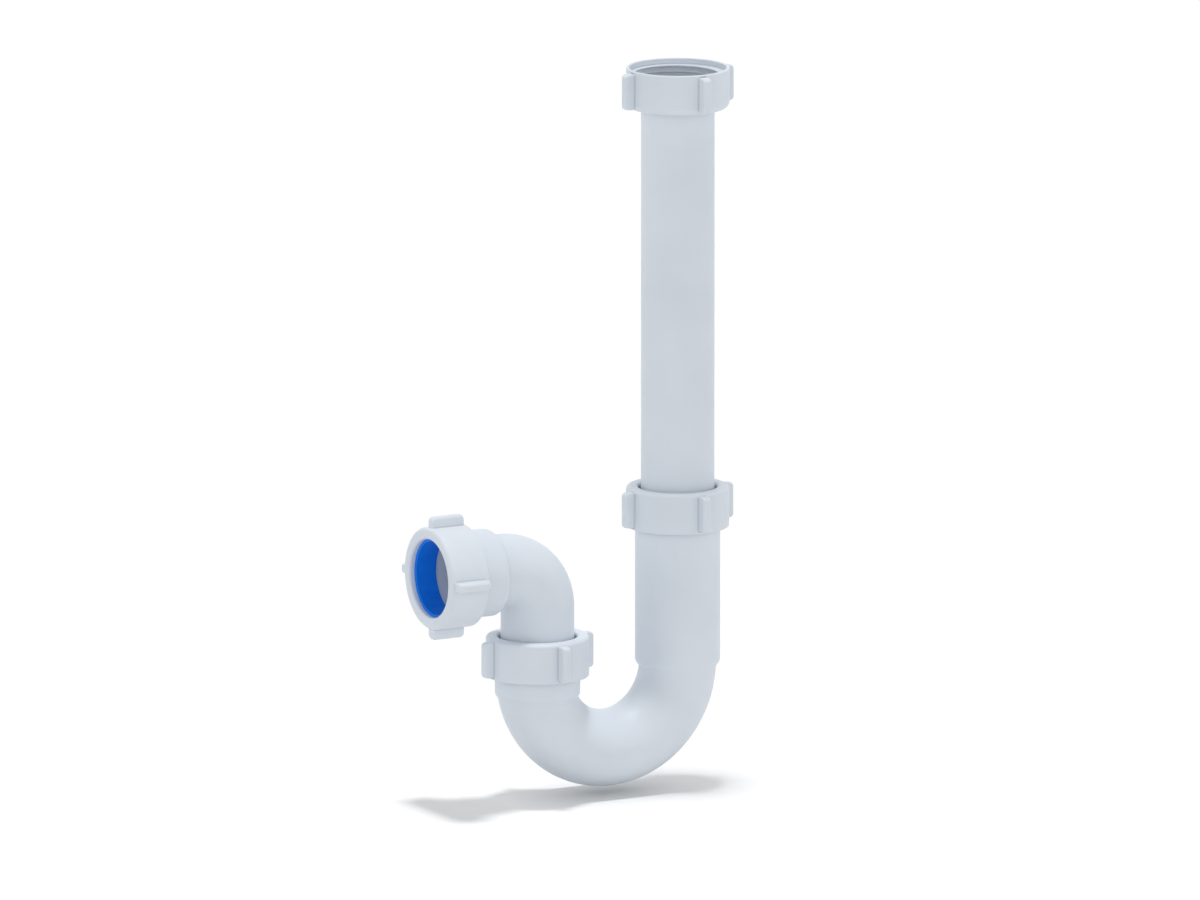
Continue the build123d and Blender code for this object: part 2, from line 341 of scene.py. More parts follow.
def make_polypropylene(name, finishes, grain_scale, grain_depth):
    """Waxy white polypropylene; the grain's scale along each axis tells moulded from extruded."""
    material, tree, surface = new_material(name)
    place = add_node(tree, "ShaderNodeTexCoord").outputs["Object"]
    cloud = noise(tree, place, CLOUD_SIZE, CLOUD_DETAIL)
    # Painted shade: ambient occlusion darkens the colour in the plastic's own corners.
    open_share = add_node(tree, "ShaderNodeAmbientOcclusion", {
        "samples": CORNER_SHADE_SAMPLES,
        "only_local": True,
        "Distance": CORNER_SHADE_REACH,
    }).outputs["AO"]
    out_of_corner = add_node(tree, "ShaderNodeMapRange", {
        "From Min": CORNER_SHADE_DARKEST,
        "From Max": CORNER_SHADE_END,
    }, {"Value": open_share})
    colour_with_painted_shade = add_node(tree, "ShaderNodeMix", {
        "data_type": "RGBA",
        MIX_FIRST: (*finishes.plastic_painted_shade, 1),
    }, {
        "Factor": out_of_corner.outputs["Result"],
        MIX_SECOND: two_tone(tree, cloud, CLOUD_SPAN, finishes.plastic, finishes.plastic_pale),
    })
    patch = noise(tree, place, GLOSS_PATCH, GLOSS_PATCH_DETAIL)
    # The mapping brings the grain to its size along each axis, so that its noise has a size of 1.
    scaled = add_node(tree, "ShaderNodeMapping", {"Scale": grain_scale}, {"Vector": place})
    grain = noise(tree, scaled.outputs["Vector"], 1.0, GRAIN_DETAIL)
    shader = add_node(tree, "ShaderNodeBsdfPrincipled", {
        "IOR": PLASTIC_IOR,
        "Subsurface Weight": PLASTIC_SOFTNESS,
        "Subsurface Radius": PLASTIC_LIGHT_REACH,
        "Subsurface Scale": 1.0,
    }, {
        "Base Color": colour_with_painted_shade.outputs[MIX_RESULT],
        "Roughness": patchy_roughness(tree, patch, finishes.plastic_roughness),
        "Normal": grain_bump(tree, grain, grain_depth),
    })
    tree.links.new(shader.outputs["BSDF"], surface)
    return material


# Press-moulded rubber is matt, with a bloom that makes faint paler clouds, and a soft sheen at its edges.
BLOOM_SIZE = 7 * MM
BLOOM_DETAIL = 4.0
BLOOM_SPAN = (0.35, 0.7)
RUBBER_IOR = 1.52
RUBBER_GLOSS = 0.25
RUBBER_SHEEN = 0.02
RUBBER_SHEEN_ROUGHNESS = 0.4
# The mould's blasted grain is about 0.15 mm, drawn at 0.6 mm so that it shows.
RUBBER_GRAIN = 0.6 * MM
RUBBER_GRAIN_DEPTH = 0.02 * MM


def make_rubber(name, finishes, dark, pale):
    """Matt rubber for the cone seals and the gasket, in its darker and its paler colour."""
    material, tree, surface = new_material(name)
    place = add_node(tree, "ShaderNodeTexCoord").outputs["Object"]
    bloom = noise(tree, place, BLOOM_SIZE, BLOOM_DETAIL)
    grain = noise(tree, place, RUBBER_GRAIN, GRAIN_DETAIL)
    shader = add_node(tree, "ShaderNodeBsdfPrincipled", {
        "IOR": RUBBER_IOR,
        "Specular IOR Level": RUBBER_GLOSS,
        "Sheen Weight": RUBBER_SHEEN,
        "Sheen Roughness": RUBBER_SHEEN_ROUGHNESS,
    }, {
        "Base Color": two_tone(tree, bloom, BLOOM_SPAN, dark, pale),
        "Roughness": patchy_roughness(tree, bloom, finishes.rubber_roughness),
        "Normal": grain_bump(tree, grain, RUBBER_GRAIN_DEPTH),
    })
    tree.links.new(shader.outputs["BSDF"], surface)
    return material


def moulded_plastic():
    """The moulded polypropylene, made once."""
    name = "Moulded polypropylene"
    finishes = bpy.context.scene.trap_finishes
    grain = 1 / MOULD_GRAIN
    return bpy.data.materials.get(name) or make_polypropylene(
        name, finishes, (grain, grain, grain), MOULD_GRAIN_DEPTH)


def extruded_plastic():
    """The extruded polypropylene, made once."""
    name = "Extruded polypropylene"
    finishes = bpy.context.scene.trap_finishes
    across = 1 / DIE_LINE_SPACING
    along = 1 / DIE_LINE_LENGTH
    return bpy.data.materials.get(name) or make_polypropylene(
        name, finishes, (across, across, along), DIE_LINE_DEPTH)


def blue_rubber():
    """The outlet seal's rubber."""
    finishes = bpy.context.scene.trap_finishes
    return make_rubber("Press-moulded blue rubber", finishes, finishes.blue, finishes.blue_pale)


def grey_rubber():
    """The rubber of the gasket and the other seals, made once."""
    name = "Press-moulded grey rubber"
    finishes = bpy.context.scene.trap_finishes
    return bpy.data.materials.get(name) or make_rubber(name, finishes, finishes.grey, finishes.grey_pale)


CREASE_ANGLE = math.radians(40)
WELD_DISTANCE = 1e-7


def finish_piece(name, surface, material, body, replaced=None):
    """Makes a closed, smooth piece from a surface's points and faces, and sets it on its body."""
    points, faces = surface
    mesh = bpy.data.meshes.new(name)
    mesh.from_pydata(points, [], faces)
    work = bmesh.new()
    work.from_mesh(mesh)
    bmesh.ops.remove_doubles(work, verts=work.verts, dist=WELD_DISTANCE)
    bmesh.ops.dissolve_degenerate(work, edges=work.edges, dist=WELD_DISTANCE)
    bmesh.ops.recalc_face_normals(work, faces=work.faces)
    if any(not edge.is_manifold for edge in work.edges):
        raise RuntimeError(name + " is not a closed surface")
    work.to_mesh(mesh)
    work.free()
    mesh.shade_smooth()
    mesh.set_sharp_from_angle(angle=CREASE_ANGLE)
    mesh.materials.append(material)
    piece = bpy.data.objects.new(name, mesh)
    bpy.context.scene.collection.objects.link(piece)
    even = piece.modifiers.new("Even shading", "WEIGHTED_NORMAL")
    even.keep_sharp = True
    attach(piece, body)
    if replaced:
        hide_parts(replaced)


def skin(rings, looped):
    """Points and faces over rings of points, looped back to the first ring or with both ends closed."""
    count = len(rings[0])
    points = [point for ring in rings for point in ring]
    faces = []
    for row in range(len(rings) if looped else len(rings) - 1):
        here = row * count
        there = (row + 1) % len(rings) * count
        for column in range(count):
            beside = (column + 1) % count
            faces.append((here + column, here + beside, there + beside, there + column))
    if not looped:
        faces.append(tuple(range(count)))
        faces.append(tuple(range(len(points) - count, len(points))))
    return points, faces


def rounded(corners, looped):
    """Points along (radius, height, rounding) corners, with an arc in place of each rounded corner."""
    points = []
    for index, (radius, height, rounding) in enumerate(corners):
        here = Vector((radius, height))
        at_end = index in (0, len(corners) - 1) and not looped
        if at_end or rounding == 0:
            points.append(here)
            continue
        back = (Vector(corners[index - 1][:2]) - here).normalized()
        ahead = (Vector(corners[(index + 1) % len(corners)][:2]) - here).normalized()
        half = back.angle(ahead) / 2
        centre = here + (back + ahead).normalized() * rounding / math.sin(half)
        start = here + back * rounding / math.tan(half) - centre
        end = here + ahead * rounding / math.tan(half) - centre
        first = math.atan2(start.y, start.x)
        sweep = (math.atan2(end.y, end.x) - first + HALF_TURN) % FULL_TURN - HALF_TURN
        for step in range(EDGE_STEPS + 1):
            turn = first + sweep * step / EDGE_STEPS
            points.append(centre + rounding * Vector((math.cos(turn), math.sin(turn))))
    return points


def round_angles():
    """Even angles round a turned piece."""
    return [FULL_TURN * index / ROUND_POINTS for index in range(ROUND_POINTS)]


def circle(radius, height, angles, place):
    """A ring of points round a place's Z axis."""
    return [place @ Vector((radius * math.cos(turn), radius * math.sin(turn), height)) for turn in angles]


def turned(corners, place):
    """Points and faces of a piece turned about a place's Z axis."""
    angles = round_angles()
    return skin([circle(point.x, point.y, angles, place) for point in rounded(corners, True)], True)


# A thread's ridge is drawn in small turns, rises over a longer turn at each end and is sunk into its wall.
THREAD_STEP = math.radians(4)
THREAD_RUN_OUT = math.radians(70)
THREAD_SINK = 0.25 * MM


def eased(part):
    """A share from 0 to 1 that sets off and arrives gently."""
    return part * part * (3 - 2 * part)


def thread(root, crest, low, high, offset, place, ceiling=math.inf):
    """Points and faces of a right-hand thread ridge, running out at both ends and cut flat at a ceiling."""
    sizes = bpy.context.scene.trap_sizes
    first = FULL_TURN * (low - offset) / sizes.thread_pitch
    last = FULL_TURN * (high - offset) / sizes.thread_pitch
    steps = math.ceil((last - first) / THREAD_STEP)
    sink = math.copysign(THREAD_SINK, root - crest)
    sections = []
    for step in range(steps + 1):
        turn = first + (last - first) * step / steps
        rise = min(1, (turn - first) / THREAD_RUN_OUT, (last - turn) / THREAD_RUN_OUT)
        top = root + (crest - root) * eased(rise)
        height = offset + sizes.thread_pitch * turn / FULL_TURN
        section = (
            (root + sink, -sizes.thread_foot / 2),
            (root, -sizes.thread_foot / 2),
            (top, -sizes.thread_crest / 2),
            (top, sizes.thread_crest / 2),
            (root, sizes.thread_foot / 2),
            (root + sink, sizes.thread_foot / 2),
        )
        x_share = math.cos(turn)
        y_share = math.sin(turn)
        sections.append([
            place @ Vector((radius * x_share, radius * y_share, min(height + higher, ceiling)))
            for radius, higher in section
        ])
    return skin(sections, False)


NECK_THREAD_START = 1.0 * MM


def neck_thread(name, body, nut_place):
    """The thread on a socket's neck, set half a pitch from the thread in its nut."""
    sizes = bpy.context.scene.trap_sizes
    high = -RIM_DEPTH - NECK_THREAD_START
    low = -RIM_DEPTH - sizes.neck_length + NECK_THREAD_START
    ridge = thread(sizes.neck_radius, sizes.neck_crest, low, high, sizes.thread_pitch / 2, nut_place)
    finish_piece(name, ridge, moulded_plastic(), body)


def bend_start(sizes):
    """Height at which the U bend's half circle starts."""
    return bend_low.z + sizes.bend_radius + sizes.tube_radius


def bend_point(sizes, radius, along, around):
    """A point on the U bend's tube: along runs from the long leg to the short leg."""
    reach = sizes.bend_radius + radius * math.cos(around)
    return Vector((
        reach * math.cos(along) - sizes.bend_radius,
        radius * math.sin(around),
        bend_start(sizes) - reach * math.sin(along),
    ))


def shoulder_tip(sizes):
    """Radius of a shoulder's lower end, which lies hidden in the middle of the tube's wall."""
    return sizes.tube_radius - sizes.tube_wall / 2


# The tube comes out of a shoulder within this turn from the bend's end, and the place is found by halving.
SHOULDER_SEARCH = math.radians(40)
SEARCH_HALVINGS = 40


def shoulder_cut(sizes, axis, base, inside, outside, around):
    """How far along the bend its tube comes out of the shoulder under a socket."""
    slope = (sizes.socket_radius - shoulder_tip(sizes)) / sizes.shoulder_height
    for _ in range(SEARCH_HALVINGS):
        middle = (inside + outside) / 2
        point = bend_point(sizes, sizes.tube_radius, middle, around)
        shoulder_radius = sizes.socket_radius - slope * (base - point.z)
        if math.hypot(point.x - axis, point.y) < shoulder_radius:
            inside = middle
        else:
            outside = middle
    return inside


def socket_corners(sizes, rim, base, stop):
    """Corners of a socket from its pipe stop up the inside, over the rim and down to its shoulder."""
    edge = sizes.edge_round
    neck_base = rim - sizes.neck_length
    return [
        (sizes.socket_bore, stop, 0),
        (sizes.socket_bore, rim - sizes.seat_depth, 0),
        (sizes.mouth_radius, rim, edge),
        (sizes.neck_radius, rim, edge),
        (sizes.neck_radius, neck_base, edge),
        (sizes.socket_radius, neck_base, edge),
        (sizes.socket_radius, base, sizes.shoulder_round),
        (shoulder_tip(sizes), base - sizes.shoulder_height, 0),
    ]


class TRAP_OT_u_bend(bpy.types.Operator):
    """Build the U bend: long socket, half-circle bend, short socket and both neck threads"""

    bl_idname = "basin_trap.u_bend"
    bl_label = "U bend"

    def execute(self, context):
        sizes = context.scene.trap_sizes
        angles = round_angles()
        spring = bend_start(sizes)
        short_base = spring - sizes.short_base_drop
        short_stop = spring - sizes.short_stop_drop
        long_stop = spring + sizes.long_stop_rise
        bore = sizes.tube_radius - sizes.tube_wall
        turned_round = Matrix.Translation((SHORT_AXIS, 0, 0)) @ Matrix.Diagonal((-1, 1, 1, 1))

        rings = [circle(bore, height, angles, INLET_AXIS) for height in (spring, long_stop)]
        long_socket = rounded(socket_corners(sizes, LONG_RIM, spring, long_stop), False)[:-1]
        rings += [circle(point.x, point.y, angles, INLET_AXIS) for point in long_socket]

        starts = [shoulder_cut(sizes, 0, spring, 0, SHOULDER_SEARCH, turn) for turn in angles]
        ends = [shoulder_cut(sizes, SHORT_AXIS, short_base, HALF_TURN, HALF_TURN - SHOULDER_SEARCH, turn)
                for turn in angles]
        for step in range(BEND_STEPS + 1):
            share_done = step / BEND_STEPS
            rings.append([
                bend_point(sizes, sizes.tube_radius, start + (end - start) * share_done, turn)
                for start, end, turn in zip(starts, ends, angles)
            ])

        short_socket = rounded(socket_corners(sizes, SHORT_RIM, short_base, short_stop), False)[:-1]
        rings += [circle(point.x, point.y, angles, turned_round) for point in reversed(short_socket)]

        inner_ends = [
            HALF_TURN - math.asin(sizes.short_stop_drop / (sizes.bend_radius + bore * math.cos(turn)))
            for turn in angles
        ]
        for step in range(BEND_STEPS):
            share_left = 1 - step / BEND_STEPS
            rings.append([
                bend_point(sizes, bore, end * share_left, turn) for end, turn in zip(inner_ends, angles)
            ])

        finish_piece("u_bend_moulding", skin(rings, True), moulded_plastic(), "u_bend",
                     "u_bend")
        neck_thread("long_neck_thread", "u_bend", PIPE_NUT_PLACE)
        neck_thread("short_neck_thread", "u_bend", ELBOW_NUT_PLACE)
        return {"FINISHED"}


def elbow_ring(sizes, radius, turn_done, angles):
    """A ring of points across the elbow's bend, from the spigot's end of it to the outlet's."""
    pivot = Vector((SHORT_AXIS - sizes.elbow_radius, 0, OUTLET_LEVEL - sizes.elbow_radius))
    away = Vector((math.cos(turn_done), 0, math.sin(turn_done)))
    side = Vector((0, 1, 0))
    middle = pivot + away * sizes.elbow_radius
    return [middle + radius * (math.cos(turn) * away + math.sin(turn) * side) for turn in angles]


class TRAP_OT_outlet_elbow(bpy.types.Operator):
    """Build the outlet elbow: spigot, tight bend, collared socket and its neck thread"""

    bl_idname = "basin_trap.outlet_elbow"
    bl_label = "Outlet elbow"

    def execute(self, context):
        sizes = context.scene.trap_sizes
        angles = round_angles()
        edge = sizes.edge_round
        bore = sizes.pipe_radius - sizes.elbow_wall
        leg = Matrix.Translation((SHORT_AXIS, 0, 0))
        neck_base = OUTLET_RIM - sizes.neck_length
        bends = [QUARTER_TURN * step / ELBOW_STEPS for step in range(ELBOW_STEPS + 1)]

        spigot = rounded([
            (bore, OUTLET_LEVEL - sizes.elbow_radius, 0),
            (bore, elbow_low.z, edge),
            (sizes.pipe_radius, elbow_low.z, edge),
            (sizes.pipe_radius, OUTLET_LEVEL - sizes.elbow_radius, 0),
        ], False)
        rings = [circle(point.x, point.y, angles, leg) for point in spigot[1:-1]]
        rings += [elbow_ring(sizes, sizes.pipe_radius, turn, angles) for turn in bends]
        outlet = rounded([
            (sizes.pipe_radius, sizes.elbow_radius, 0),
            (sizes.pipe_radius, sizes.collar_start, edge),
            (sizes.collar_radius, sizes.collar_start, sizes.collar_round),
            (sizes.collar_radius, neck_base, edge),
            (sizes.neck_radius, neck_base, edge),
            (sizes.neck_radius, OUTLET_RIM, edge),
            (sizes.mouth_radius, OUTLET_RIM, edge),
            (sizes.socket_bore, OUTLET_RIM - sizes.seat_depth, 0),
            (sizes.socket_bore, sizes.outlet_stop, 0),
            (bore, sizes.outlet_stop, edge),
            (bore, sizes.elbow_radius, 0),
        ], False)
        rings += [circle(point.x, point.y, angles, OUTLET_AXIS) for point in outlet[1:-1]]
        rings += [elbow_ring(sizes, bore, turn, angles) for turn in reversed(bends)]

        finish_piece("outlet_elbow_moulding", skin(rings, True), moulded_plastic(), "outlet_elbow",
                     "outlet_elbow")
        neck_thread("outlet_neck_thread", "outlet_elbow", OUTLET_NUT_PLACE)
        return {"FINISHED"}


class TRAP_OT_inlet_pipe(bpy.types.Operator):
    """Build the flanged inlet pipe and the gasket on its flange"""

    bl_idname = "basin_trap.inlet_pipe"
    bl_label = "Inlet pipe and gasket"

    def execute(self, context):
        sizes = context.scene.trap_sizes
        edge = sizes.edge_round
        bore = sizes.pipe_radius - sizes.pipe_wall
        flange_base = pipe_high.z - sizes.flange_thickness
        tube = turned([
            (bore, pipe_low.z, edge),
            (sizes.pipe_radius, pipe_low.z, edge),
            (sizes.pipe_radius, flange_base, edge),
            (sizes.flange_radius, flange_base, edge),
            (sizes.flange_radius, pipe_high.z, edge),
            (bore, pipe_high.z, edge),
        ], INLET_AXIS)
        finish_piece("inlet_pipe_tube", tube, extruded_plastic(), "inlet_pipe",
                     "inlet_pipe")
        gasket_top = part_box("inlet_gasket")[1].z
        gasket = turned([
            (sizes.gasket_bore, pipe_high.z, edge),
            (sizes.flange_radius, pipe_high.z, edge),
            (sizes.flange_radius, gasket_top, edge),
            (sizes.gasket_bore, gasket_top, edge),
        ], INLET_AXIS)
        finish_piece("inlet_gasket_ring", gasket, grey_rubber(), "inlet_pipe", "inlet_gasket")
        return {"FINISHED"}


# The step under a cone seal's head is narrow, so that its edges are rounded by this share of the others.
SEAL_STEP_SHARE = 0.5


class TRAP_OT_cone_seals(bpy.types.Operator):
    """Build the three cone seals under the compression nuts"""

    bl_idname = "basin_trap.cone_seals"
    bl_label = "Cone seals"

    def execute(self, context):
        sizes = context.scene.trap_sizes
        edge = sizes.edge_round
        step_edge = edge * SEAL_STEP_SHARE
        head = -sizes.nut_lip
        seat = head - sizes.seal_head_thickness
        tip = seat - sizes.seal_cone
        corners = [
            (sizes.seal_bore, tip, 0),
            (sizes.seal_bore + sizes.seal_tip, tip, 0),
            (sizes.mouth_radius - sizes.seal_gap, seat, step_edge),
            (sizes.seal_head, seat, step_edge),
            (sizes.seal_head, head, edge),
            (sizes.seal_bore, head, edge),
        ]
        seals = (
            ("pipe_seal", PIPE_NUT_PLACE, grey_rubber(), "grey_rubber"),
            ("elbow_seal", ELBOW_NUT_PLACE, grey_rubber(), "grey_rubber"),
            ("outlet_seal", OUTLET_NUT_PLACE, blue_rubber(), "blue_rubber"),
        )
        for node, place, material, slot in seals:
            finish_piece(node + "_ring", turned(corners, place), material, node, node)
        return {"FINISHED"}


LUG_COUNT = 4
LUG_SPACING = FULL_TURN / LUG_COUNT
# Steps across half a lug's face, round its edge and its root, down its side, and on to half way to the next
LUG_FACE_STEPS = 2
LUG_ARC_STEPS = 5
LUG_SIDE_STEPS = 2
WALL_STEPS = 13


def half_lug(sizes, wall, reach, half_width):
    """Points from the middle of a lug's face, down its side, to half way to the next lug."""
    outer = sizes.lug_round
    root = sizes.lug_root_round
    points = [Vector((reach, (half_width - outer) * step / LUG_FACE_STEPS))
              for step in range(LUG_FACE_STEPS)]
    for step in range(LUG_ARC_STEPS + 1):
        turn = QUARTER_TURN * step / LUG_ARC_STEPS
        points.append(Vector((reach - outer + outer * math.cos(turn),
                              half_width - outer + outer * math.sin(turn))))
    centre = Vector((math.sqrt((wall + root) ** 2 - (half_width + root) ** 2), half_width + root))
    side_start = points[-1].x
    for step in range(1, LUG_SIDE_STEPS):
        points.append(Vector((side_start + (centre.x - side_start) * step / LUG_SIDE_STEPS, half_width)))
    wall_start = math.atan2(centre.y, centre.x)
    for step in range(LUG_ARC_STEPS + 1):
        turn = -QUARTER_TURN + (wall_start - QUARTER_TURN) * step / LUG_ARC_STEPS
        points.append(centre + root * Vector((math.cos(turn), math.sin(turn))))
    for step in range(1, WALL_STEPS + 1):
        turn = wall_start + (LUG_SPACING / 2 - wall_start) * step / WALL_STEPS
        points.append(wall * Vector((math.cos(turn), math.sin(turn))))
    return points


def all_round(half):
    """Points all round a nut from those between a lug's middle and half way to the next lug."""
    sector = [Vector((point.x, -point.y)) for point in reversed(half[1:])] + half[:-1]
    points = []
    for index in range(LUG_COUNT):
        turn = Matrix.Rotation(index * LUG_SPACING, 2)
        points += [turn @ point for point in sector]
    return points


def arc_depth(rounding, inset):
    """How far a rounded edge stands back from its full size at an inset from its end."""
    if inset >= rounding:
        return 0.0
    return rounding - math.sqrt(rounding ** 2 - (rounding - inset) ** 2)


def arc_insets(rounding):
    """Insets from the end of a rounded edge, evenly spaced round its arc."""
    turns = [QUARTER_TURN * step / EDGE_STEPS for step in range(EDGE_STEPS + 1)]
    return [rounding * (1 - math.cos(turn)) for turn in turns]


def nut_rings(sizes, top, base, top_round, base_round, inside, place):
    """Rings down a nut's lugged outside and back up the inside given as (radius, height) points."""
    lug_top = top - sizes.lug_end_gap
    lug_base = lug_top - sizes.lug_length
    heights = {top - inset for inset in arc_insets(top_round)}
    heights |= {base + inset for inset in arc_insets(base_round)}
    heights |= {lug_top - inset for inset in arc_insets(sizes.lug_corner_round)}
    heights |= {lug_base + inset for inset in arc_insets(sizes.lug_corner_round)}
    angles = [math.atan2(point.y, point.x) for point in
              all_round(half_lug(sizes, sizes.nut_radius, sizes.lug_reach, sizes.lug_width / 2))]
    rings = []
    for height in sorted(heights, reverse=True):
        wall = sizes.nut_radius - arc_depth(top_round, top - height) - arc_depth(base_round, height - base)
        if not lug_base <= height <= lug_top:
            rings.append(circle(wall, height, angles, place))
            continue
        inset = min(lug_top - height, height - lug_base)
        reach = sizes.lug_reach - arc_depth(sizes.lug_corner_round, inset)
        half_width = sizes.lug_width / 2 - arc_depth(sizes.lug_end_round, inset)
        outline = all_round(half_lug(sizes, wall, reach, half_width))
        lugged = [place @ Vector((point.x, point.y, height)) for point in outline]
        plain = circle(wall, height, [math.atan2(point.y, point.x) for point in outline], place)
        if height == lug_top:
            rings.append(plain)
        rings.append(lugged)
        if height == lug_base:
            rings.append(plain)
    return rings + [circle(point.x, point.y, angles, place) for point in inside]


THREAD_END_GAP = 1.3 * MM


class TRAP_OT_compression_nuts(bpy.types.Operator):
    """Build the three lugged compression nuts with their inside threads"""

    bl_idname = "basin_trap.compression_nuts"
    bl_label = "Compression nuts"

    def execute(self, context):
        sizes = context.scene.trap_sizes
        edge = sizes.edge_round
        skirt = pipe_nut_low.z - pipe_nut_high.z
        inside = rounded([
            (sizes.nut_radius, skirt, 0),
            (sizes.nut_bore, skirt, edge),
            (sizes.nut_bore, -sizes.nut_lip, edge),
            (sizes.opening, -sizes.nut_lip, edge),
            (sizes.opening, 0, sizes.opening_round),
            (sizes.nut_radius, 0, 0),
        ], False)[1:-1]
        places = {"pipe_nut": PIPE_NUT_PLACE, "elbow_nut": ELBOW_NUT_PLACE, "outlet_nut": OUTLET_NUT_PLACE}
        for node, place in places.items():
            rings = nut_rings(sizes, 0, skirt, sizes.lip_round, sizes.skirt_round, inside, place)
            finish_piece(node + "_moulding", skin(rings, True), moulded_plastic(), node,
                         node)
            ridge = thread(sizes.nut_bore, sizes.nut_crest, skirt + THREAD_END_GAP,
                           -RIM_DEPTH - THREAD_END_GAP, 0, place)
            finish_piece(node + "_thread", ridge, moulded_plastic(), node)
        return {"FINISHED"}


# The union nut's thread comes up under the ledge of its mouth at this turn, and the ledge cuts it off.
LEDGE_TURN = math.radians(61)
LEDGE_RUN = math.radians(110)


class TRAP_OT_union_nut(bpy.types.Operator):
    """Build the lugged union nut at the inlet, with its open mouth and inside thread"""

    bl_idname = "basin_trap.union_nut"
    bl_label = "Union nut"

    def execute(self, context):
        sizes = context.scene.trap_sizes
        edge = sizes.edge_round
        rim = inlet_nut_high.z
        base = inlet_nut_low.z
        lip_top = base + sizes.nut_lip
        mouth_base = rim - sizes.union_mouth_depth
        inside = rounded([
            (sizes.nut_radius, base, 0),
            (sizes.union_opening, base, edge),
            (sizes.union_opening, lip_top, edge),
            (sizes.union_chamber, lip_top, 0),
            (sizes.union_chamber, 0, edge),
            (sizes.nut_bore, 0, 0),
            (sizes.nut_bore, mouth_base, edge),
            (sizes.union_mouth, mouth_base, edge),
            (sizes.union_mouth, rim, sizes.union_rim_round),
            (sizes.nut_radius, rim, 0),
        ], False)[1:-1]
        rings = nut_rings(sizes, rim, base, sizes.union_rim_round, sizes.union_base_round, inside,
                          INLET_AXIS)
        finish_piece("inlet_nut_moulding", skin(rings, True), moulded_plastic(), "inlet_nut",
                     "inlet_nut")
        ledge_crest = mouth_base - sizes.thread_crest / 2
        offset = ledge_crest - sizes.thread_pitch * LEDGE_TURN / FULL_TURN
        last = ledge_crest + sizes.thread_pitch * LEDGE_RUN / FULL_TURN
        ridge = thread(sizes.nut_bore, sizes.nut_crest, THREAD_END_GAP, last, offset, INLET_AXIS, mouth_base)
        finish_piece("inlet_nut_thread", ridge, moulded_plastic(), "inlet_nut")
        return {"FINISHED"}


BOARD_HALF = 6.0
# The board lies a little below the bend, so that the shadow parts from it as in the photograph.
BOARD_GAP = 4 * MM
# Painted board: matt and even, with a faint grain of the roller, drawn at 4 mm.
ROLLER_GRAIN = 4 * MM
ROLLER_GRAIN_DEPTH = 0.02 * MM
BOARD_ROUGHNESS = 0.9
# Painted shadow: where the board sees little of the room, close under the bend, its colour is darkened.
PAINTED_SHADOW_REACH = 25 * MM
PAINTED_SHADOW_SAMPLES = 4

SUN_STRENGTH = 1.35
SUN_SPREAD = math.radians(7)
# The room's walls are lightest a little way up, at this sine of the angle above level, and shares of that
# strength come from the foot of the walls and from the ceiling.
WALL_STRENGTH = 1.23
LIGHTEST_RISE = 0.3
WALL_FOOT_SHARE = 0.49
CEILING_SHARE = 0.11

SENSOR_WIDTH = 36.0
FAR_CLIP = 100.0


def seen_directly(tree):
    """1 for what the camera sees, also in a mirror or through glass, and 0 for the light on other things."""
    rays = add_node(tree, "ShaderNodeLightPath").outputs
    seen = add_node(tree, "ShaderNodeMath", {"operation": "MAXIMUM"},
                    {0: rays["Is Camera Ray"], 1: rays["Is Glossy Ray"]})
    seen = add_node(tree, "ShaderNodeMath", {"operation": "MAXIMUM"},
                    {0: seen.outputs["Value"], 1: rays["Is Transmission Ray"]})
    return seen.outputs["Value"]


def painted_board(stage):
    """Matt white paint, which shows whiter than the light that it throws back."""
    material, tree, surface = new_material("Painted white board")
    place = add_node(tree, "ShaderNodeTexCoord").outputs["Object"]
    grain = noise(tree, place, ROLLER_GRAIN, GRAIN_DETAIL)
    # Painted shadow: ambient occlusion darkens the board's colour close under the trap.
    open_share = add_node(tree, "ShaderNodeAmbientOcclusion", {
        "samples": PAINTED_SHADOW_SAMPLES,
        "Distance": PAINTED_SHADOW_REACH,
    }).outputs["AO"]
    shown = add_node(tree, "ShaderNodeMix", {
        "data_type": "RGBA",
        MIX_FIRST: (*stage.floor_painted_shadow, 1),
        MIX_SECOND: (*stage.floor, 1),
    }, {"Factor": open_share})
    paint = add_node(tree, "ShaderNodeMix", {
        "data_type": "RGBA",
        MIX_FIRST: (*stage.floor_bounce, 1),
    }, {
        "Factor": seen_directly(tree),
        MIX_SECOND: shown.outputs[MIX_RESULT],
    })
    board = add_node(tree, "ShaderNodeBsdfPrincipled", {
        "Roughness": BOARD_ROUGHNESS,
        "Specular IOR Level": 0.0,
    }, {
        "Base Color": paint.outputs[MIX_RESULT],
        "Normal": grain_bump(tree, grain, ROLLER_GRAIN_DEPTH),
    })
    tree.links.new(board.outputs["BSDF"], surface)
    return material


def even_grey(level):
    """A grey of one level, as a colour stop holds it."""
    return level, level, level, 1


def white_studio(stage):
    """A room that is white to the camera, and lights the trap from its walls more than from its ceiling."""
    world = bpy.data.worlds.new("White studio")
    world.use_nodes = True
    tree = world.node_tree
    tree.nodes.clear()
    direction = add_node(tree, "ShaderNodeTexCoord").outputs["Generated"]
    rise = add_node(tree, "ShaderNodeSeparateXYZ", None, {"Vector": direction}).outputs["Z"]
    room = add_node(tree, "ShaderNodeValToRGB", None, {"Fac": rise})
    stops = room.color_ramp.elements
    stops[0].color = even_grey(WALL_FOOT_SHARE)
    stops[1].color = even_grey(CEILING_SHARE)
    stops.new(LIGHTEST_RISE).color = even_grey(1)
    light = add_node(tree, "ShaderNodeBackground", {"Strength": WALL_STRENGTH},
                     {"Color": room.outputs["Color"]})
    back = add_node(tree, "ShaderNodeBackground", {"Color": (*stage.background, 1), "Strength": 1.0})
    both = add_node(tree, "ShaderNodeMixShader", None, {
        "Fac": seen_directly(tree),
        1: light.outputs["Background"],
        2: back.outputs["Background"],
    })
    add_node(tree, "ShaderNodeOutputWorld", None, {"Surface": both.outputs["Shader"]})
    return world


